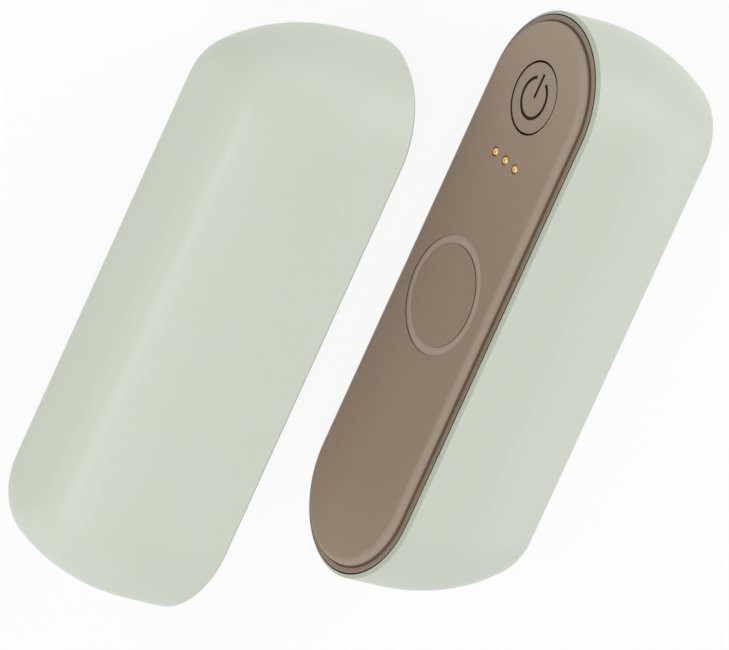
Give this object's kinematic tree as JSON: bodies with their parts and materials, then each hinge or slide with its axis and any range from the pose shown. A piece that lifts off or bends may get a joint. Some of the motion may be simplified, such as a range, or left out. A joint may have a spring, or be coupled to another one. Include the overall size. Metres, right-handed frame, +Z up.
{
  "type": "hand warmer",
  "caption": "Rechargeable split hand warmer: matching rounded halves with a power button and contacts on each mating face, which slide together into one magnetic pebble.",
  "frame": {"origin": "middle of the two halves' box, on the surface that they lie on", "axes": "+Y along the halves towards the power buttons, +X from the left half to the right half, +Z up"},
  "size_m": [0.0944, 0.1164, 0.032],
  "materials": {
    "shell_paint": "soft satin coat over moulded plastic",
    "plate_plastic": "fine matt moulded texture",
    "button_plastic": "fine matt moulded texture",
    "gasket_foam": "closed-cell foam",
    "magnet_plating": "nickel plated",
    "plain_steel": "plain bright",
    "black_plastic": "moulded",
    "gold_plating": "satin gold plate",
    "board_laminate": "solder mask",
    "clear_resin": "clear cast",
    "frame_plastic": "moulded",
    "cell_can": "shrink sleeve over the can",
    "nickel_strip": "rolled",
    "spreader_sheet": "rolled",
    "amber_film": "smooth film",
    "wire_sleeve": "smooth"
  },
  "bodies": {
    "right_half": {"right_battery_cell": "cell_can", "right_board_chips": "black_plastic", "right_cell_cradle": "frame_plastic", "right_cell_pad": "gasket_foam", "right_cell_tabs": "nickel_strip", "right_contact_block": "black_plastic", "right_contact_pads": "gold_plating", "right_control_board": "board_laminate", "right_face_gasket": "gasket_foam", "right_face_plate": "plate_plastic", "right_frame_screws": "plain_steel", "right_heat_spreader": "spreader_sheet", "right_heater_film": "amber_film", "right_heater_leads": "wire_sleeve", "right_indicator_led": "clear_resin", "right_magnet": "magnet_plating", "right_magnet_yoke": "plain_steel", "right_outer_shell": "shell_paint", "right_switch_body": "black_plastic", "right_thermistor": "clear_resin", "right_usb_socket": "plain_steel", "right_usb_tongue": "black_plastic"},
    "left_half": {"left_battery_cell": "cell_can", "left_board_chips": "black_plastic", "left_cell_cradle": "frame_plastic", "left_cell_pad": "gasket_foam", "left_cell_tabs": "nickel_strip", "left_contact_block": "black_plastic", "left_control_board": "board_laminate", "left_face_gasket": "gasket_foam", "left_face_plate": "plate_plastic", "left_frame_screws": "plain_steel", "left_heat_spreader": "spreader_sheet", "left_heater_film": "amber_film", "left_heater_leads": "wire_sleeve", "left_indicator_led": "clear_resin", "left_magnet": "magnet_plating", "left_magnet_yoke": "plain_steel", "left_outer_shell": "shell_paint", "left_pin_barrels": "gold_plating", "left_pin_springs": "plain_steel", "left_switch_body": "black_plastic", "left_thermistor": "clear_resin", "left_usb_socket": "plain_steel", "left_usb_tongue": "black_plastic"},
    "right_button": {"right_power_button": "button_plastic", "right_switch_plunger": "black_plastic"},
    "left_button": {"left_power_button": "button_plastic", "left_switch_plunger": "black_plastic"},
    "left_pins": {"left_contact_pins": "gold_plating"}
  },
  "joints": [
    {"name": "halves_close", "type": "slide", "parent": "right_half", "child": "left_half", "axis": [0.915, 0.4034, 0], "range_m": [0, 0.03049]},
    {"name": "right_button_press", "type": "slide", "parent": "right_half", "child": "right_button", "axis": [1, 0, 0], "range_m": [0, 0.0004], "stiffness_N_per_m": 3000, "springref_m": -0.0002},
    {"name": "left_button_press", "type": "slide", "parent": "left_half", "child": "left_button", "axis": [-1, 0, 0], "range_m": [0, 0.0004], "stiffness_N_per_m": 3000, "springref_m": -0.0002},
    {"name": "left_pins_press", "type": "slide", "parent": "left_half", "child": "left_pins", "axis": [-1, 0, 0], "range_m": [0, 0.0003], "stiffness_N_per_m": 1500, "springref_m": -0.0004, "deforming": ["left_pin_springs"]}
  ]
}
